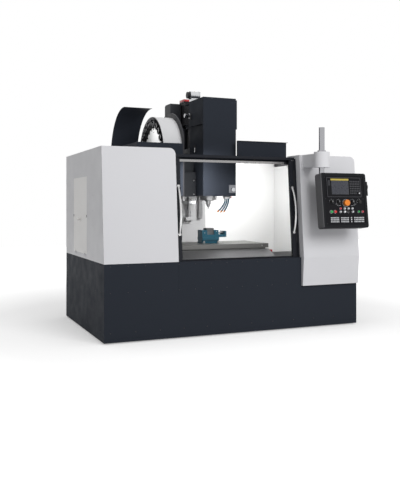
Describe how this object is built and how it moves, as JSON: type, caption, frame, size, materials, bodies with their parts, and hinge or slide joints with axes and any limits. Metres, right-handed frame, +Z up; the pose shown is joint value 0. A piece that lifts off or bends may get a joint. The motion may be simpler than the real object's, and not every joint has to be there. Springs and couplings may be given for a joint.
{
  "type": "cnc machining center",
  "caption": "Enclosed three-axis vertical machining center with sliding doors, T-slot table and vise, arm-type tool changer and a swivelling control pendant.",
  "frame": {"origin": "on the floor, under the middle of the machine's outer box", "axes": "+X to the operator's right, +Y from the doors to the electrical cabinet behind, +Z up"},
  "size_m": [2.83, 2.5516, 2.6029],
  "materials": {
    "black_enamel": "satin enamel",
    "light_enamel": "satin enamel",
    "cream_enamel": "satin enamel",
    "liner_white": "gloss enamel",
    "casting_gray": "enamelled casting",
    "bed_gray": "enamelled casting",
    "steel": "ground",
    "sheet_steel": "brushed sheet",
    "table_iron": "ground top, scraped",
    "foot_iron": "raw",
    "motor_black": "matte paint",
    "door_black": "satin enamel",
    "window_glass": "clear",
    "vise_teal": "enamel",
    "block_gray": "milled",
    "lamp_white": "frosted",
    "nozzle_plastic": "moulded",
    "pot_black": "moulded",
    "disc_white": "enamel",
    "plate_dark": "matte paint",
    "arm_steel": "satin",
    "pendant_gray": "textured enamel",
    "panel_gray": "printed film",
    "chrome": "polished",
    "stop_orange": "moulded",
    "button_green": "moulded",
    "button_red": "moulded",
    "dial_black": "moulded",
    "tank_gray": "enamel"
  },
  "bodies": {
    "base": {"leveling_pads": "foot_iron", "bed": "bed_gray", "column": "casting_gray", "base_guides": "steel", "axis_motors": "motor_black", "chip_pan": "sheet_steel", "coolant_unit": "tank_gray", "lower_skirt": "black_enamel", "front_belt": "black_enamel", "left_cover": "light_enamel", "left_side_panel": "light_enamel", "side_pane": "cream_enamel", "right_cover": "light_enamel", "outer_panels": "light_enamel", "inner_walls": "liner_white", "roof_guards": "black_enamel", "door_frame": "black_enamel", "atc_frame": "plate_dark", "magazine_guard": "liner_white", "atc_gearbox": "casting_gray", "pendant_arm": "light_enamel", "electrical_cabinet": "light_enamel"},
    "cabinet_door": {"cabinet_door": "light_enamel"},
    "side_hatch": {"side_hatch": "cream_enamel"},
    "left_door": {"left_door": "door_black", "left_window": "window_glass"},
    "right_door": {"right_door": "door_black", "right_window": "window_glass"},
    "saddle": {"saddle": "casting_gray", "x_guides": "steel", "x_motor": "motor_black", "front_apron": "sheet_steel"},
    "y_screw": {"ball_screw_y": "steel"},
    "table": {"table": "table_iron", "vise_body": "vise_teal", "workpiece": "block_gray"},
    "x_screw": {"ball_screw_x": "steel"},
    "vise_jaw": {"vise_jaw": "vise_teal"},
    "vise_screw": {"vise_screw": "steel"},
    "head": {"head_casting": "casting_gray", "head_cover": "black_enamel", "head_lamp": "lamp_white", "spindle_housing": "steel", "spindle_motor": "motor_black", "coolant_nozzles": "nozzle_plastic"},
    "z_screw": {"ball_screw_z": "steel"},
    "spindle": {"spindle": "steel"},
    "magazine": {"magazine_disc": "disc_white", "tool_pots": "pot_black"},
    "change_pot": {"change_pot": "pot_black"},
    "arm_quill": {"arm_quill": "steel"},
    "change_arm": {"change_arm": "arm_steel"},
    "pendant": {"pendant_post": "chrome", "pendant_housing": "pendant_gray", "pendant_panel": "panel_gray"},
    "emergency_stop": {"emergency_stop": "stop_orange"},
    "start_button": {"start_button": "button_green"},
    "stop_button": {"stop_button": "button_red"},
    "feed_dial": {"feed_dial": "dial_black"},
    "handwheel": {"handwheel": "dial_black"}
  },
  "joints": [
    {"name": "cabinet_door_hinge", "type": "hinge", "parent": "base", "child": "cabinet_door", "pos_m": [1.355, 1.21846, 1], "axis": [0, 0, -1], "range_deg": [0, 110]},
    {"name": "side_hatch_hinge", "type": "hinge", "parent": "base", "child": "side_hatch", "pos_m": [-1.3903, 0.09246, 0.793], "axis": [0, -1, 0], "range_deg": [0, 90]},
    {"name": "left_door_slide", "type": "slide", "parent": "base", "child": "left_door", "axis": [1, 0, 0], "range_m": [0, 0.6195]},
    {"name": "right_door_slide", "type": "slide", "parent": "base", "child": "right_door", "axis": [-1, 0, 0], "range_m": [0, 0.6195]},
    {"name": "y_axis", "type": "slide", "parent": "base", "child": "saddle", "axis": [0, 1, 0], "range_m": [-0.235, 0.285]},
    {"name": "y_screw", "type": "hinge", "parent": "base", "child": "y_screw", "pos_m": [0.015, -0.01954, 0.478], "axis": [0, 1, 0], "continuous": true},
    {"name": "x_axis", "type": "slide", "parent": "saddle", "child": "table", "axis": [1, 0, 0], "range_m": [-0.51, 0.51]},
    {"name": "x_screw", "type": "hinge", "parent": "saddle", "child": "x_screw", "pos_m": [0.015, -0.08954, 0.668], "axis": [1, 0, 0], "continuous": true},
    {"name": "z_axis", "type": "slide", "parent": "base", "child": "head", "axis": [0, 0, 1], "range_m": [-0.205, 0.305]},
    {"name": "z_screw", "type": "hinge", "parent": "base", "child": "z_screw", "pos_m": [0.015, 0.49846, 1.6], "axis": [0, 0, 1], "continuous": true},
    {"name": "vise_jaw_slide", "type": "slide", "parent": "table", "child": "vise_jaw", "axis": [1, 0, 0], "range_m": [0, 0.07]},
    {"name": "vise_screw_turn", "type": "hinge", "parent": "vise_jaw", "child": "vise_screw", "pos_m": [0.145, -0.08954, 0.985], "axis": [1, 0, 0], "continuous": true},
    {"name": "spindle_turn", "type": "hinge", "parent": "head", "child": "spindle", "pos_m": [0.015, -0.08954, 1.5], "axis": [0, 0, 1], "continuous": true},
    {"name": "magazine_turn", "type": "hinge", "parent": "base", "child": "magazine", "pos_m": [-0.545, -0.08954, 1.822], "axis": [1, 0, 0], "continuous": true},
    {"name": "pot_flip", "type": "hinge", "parent": "magazine", "child": "change_pot", "pos_m": [-0.56, -0.08954, 1.437], "axis": [0, 1, 0], "range_deg": [-90, 0]},
    {"name": "arm_drop", "type": "slide", "parent": "base", "child": "arm_quill", "axis": [0, 0, -1], "range_m": [0, 0.11]},
    {"name": "arm_turn", "type": "hinge", "parent": "arm_quill", "child": "change_arm", "pos_m": [-0.29, -0.08954, 1.323], "axis": [0, 0, 1], "range_deg": [0, 90]},
    {"name": "pendant_swivel", "type": "hinge", "parent": "base", "child": "pendant", "pos_m": [0.813, -1.16954, 1.75], "axis": [0, 0, 1], "range_deg": [-100, 8]},
    {"name": "emergency_stop_press", "type": "slide", "parent": "pendant", "child": "emergency_stop", "axis": [0, 0.9925, -0.1219], "range_m": [0, 0.004], "stiffness_N_per_m": 1500, "springref_m": -0.004},
    {"name": "start_press", "type": "slide", "parent": "pendant", "child": "start_button", "axis": [0, 0.9925, -0.1219], "range_m": [0, 0.004], "stiffness_N_per_m": 600, "springref_m": -0.003},
    {"name": "stop_press", "type": "slide", "parent": "pendant", "child": "stop_button", "axis": [0, 0.9925, -0.1219], "range_m": [0, 0.004], "stiffness_N_per_m": 600, "springref_m": -0.003},
    {"name": "feed_dial_turn", "type": "hinge", "parent": "pendant", "child": "feed_dial", "pos_m": [1.22, -1.24037, 1.32998], "axis": [0, 0.9925, -0.1219], "range_deg": [-135, 135]},
    {"name": "handwheel_turn", "type": "hinge", "parent": "pendant", "child": "handwheel", "pos_m": [1.347, -1.16938, 1.48146], "axis": [1, 0, 0], "continuous": true}
  ],
  "couplings": [
    {"joint": "y_screw", "follows": "y_axis", "rad_per_m": 523.6},
    {"joint": "x_screw", "follows": "x_axis", "rad_per_m": 523.6},
    {"joint": "z_screw", "follows": "z_axis", "rad_per_m": 523.6},
    {"joint": "vise_screw_turn", "follows": "vise_jaw_slide", "rad_per_m": 1256.6}
  ]
}
